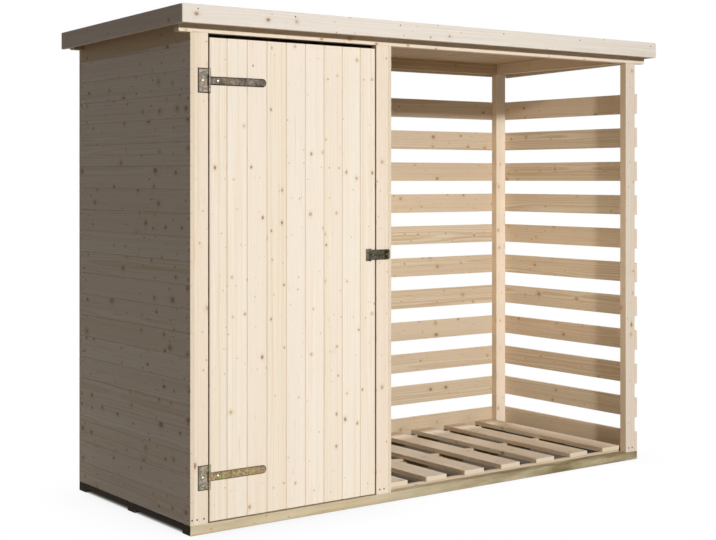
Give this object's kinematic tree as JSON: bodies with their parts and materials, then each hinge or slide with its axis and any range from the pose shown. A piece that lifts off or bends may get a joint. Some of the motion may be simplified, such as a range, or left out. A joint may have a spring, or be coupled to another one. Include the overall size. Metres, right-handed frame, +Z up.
{
  "type": "log store",
  "caption": "Timber log store: an open bay with slatted back and side next to a matchboarded tool cupboard with a braced door on T hinges and a hasp, under a low felted roof.",
  "frame": {"origin": "on the ground under the middle of the base, at the middle bearer's underside", "axes": "+X along the length from the cupboard to the open bay, +Y from the front to the back, +Z up"},
  "size_m": [2.622, 1.09, 2.0279],
  "materials": {
    "spruce_frame": "planed, unpainted",
    "spruce_cladding": "planed, unpainted",
    "spruce_fascia": "planed, unpainted",
    "treated_base": "pressure treated, matt",
    "spruce_floor": "planed, unpainted",
    "spruce_door": "planed, unpainted",
    "zinc_hinge": "yellow passivated zinc",
    "bronze_hasp": "dark passivated zinc",
    "roof_felt": "mineral grit"
  },
  "bodies": {
    "frame": {"front_bearer": "treated_base", "middle_bearer": "treated_base", "rear_bearer": "treated_base", "left_end_joist": "treated_base", "right_end_joist": "treated_base", "floor_battens": "spruce_floor", "cupboard_floor": "spruce_floor", "bay_floor_slats": "spruce_floor", "front_left_post": "spruce_frame", "front_middle_post": "spruce_frame", "front_right_post": "spruce_frame", "rear_left_post": "spruce_frame", "rear_middle_post": "spruce_frame", "rear_right_post": "spruce_frame", "front_header": "spruce_frame", "rear_header": "spruce_frame", "left_rake_rail": "spruce_frame", "partition_rake_rail": "spruce_frame", "right_rake_rail": "spruce_frame", "left_wall": "spruce_cladding", "left_rake_board": "spruce_cladding", "partition_wall": "spruce_cladding", "cupboard_back_wall": "spruce_cladding", "back_slats": "spruce_cladding", "back_top_board": "spruce_cladding", "right_slats": "spruce_cladding", "right_rake_board": "spruce_cladding", "roof_deck": "spruce_cladding", "roof_felt": "roof_felt", "front_fascia": "spruce_fascia", "left_fascia": "spruce_fascia", "right_fascia": "spruce_fascia", "rear_eaves_board": "spruce_fascia", "upper_hinge_plate": "zinc_hinge", "lower_hinge_plate": "zinc_hinge", "staple": "bronze_hasp"},
    "door": {"door_boards": "spruce_door", "door_top_ledge": "spruce_door", "door_bottom_ledge": "spruce_door", "door_brace": "spruce_door", "upper_hinge_strap": "zinc_hinge", "lower_hinge_strap": "zinc_hinge", "hasp_plate": "bronze_hasp"},
    "hasp": {"hasp_strap": "bronze_hasp"}
  },
  "joints": [
    {"name": "door_swing", "type": "hinge", "parent": "frame", "child": "door", "pos_m": [-1.161, -0.4985, 0.98], "axis": [0, 0, -1], "range_deg": [0, 165]},
    {"name": "hasp_swing", "type": "hinge", "parent": "door", "child": "hasp", "pos_m": [-0.385, -0.49725, 1.048], "axis": [0, 0, -1], "range_deg": [0, 165]}
  ]
}
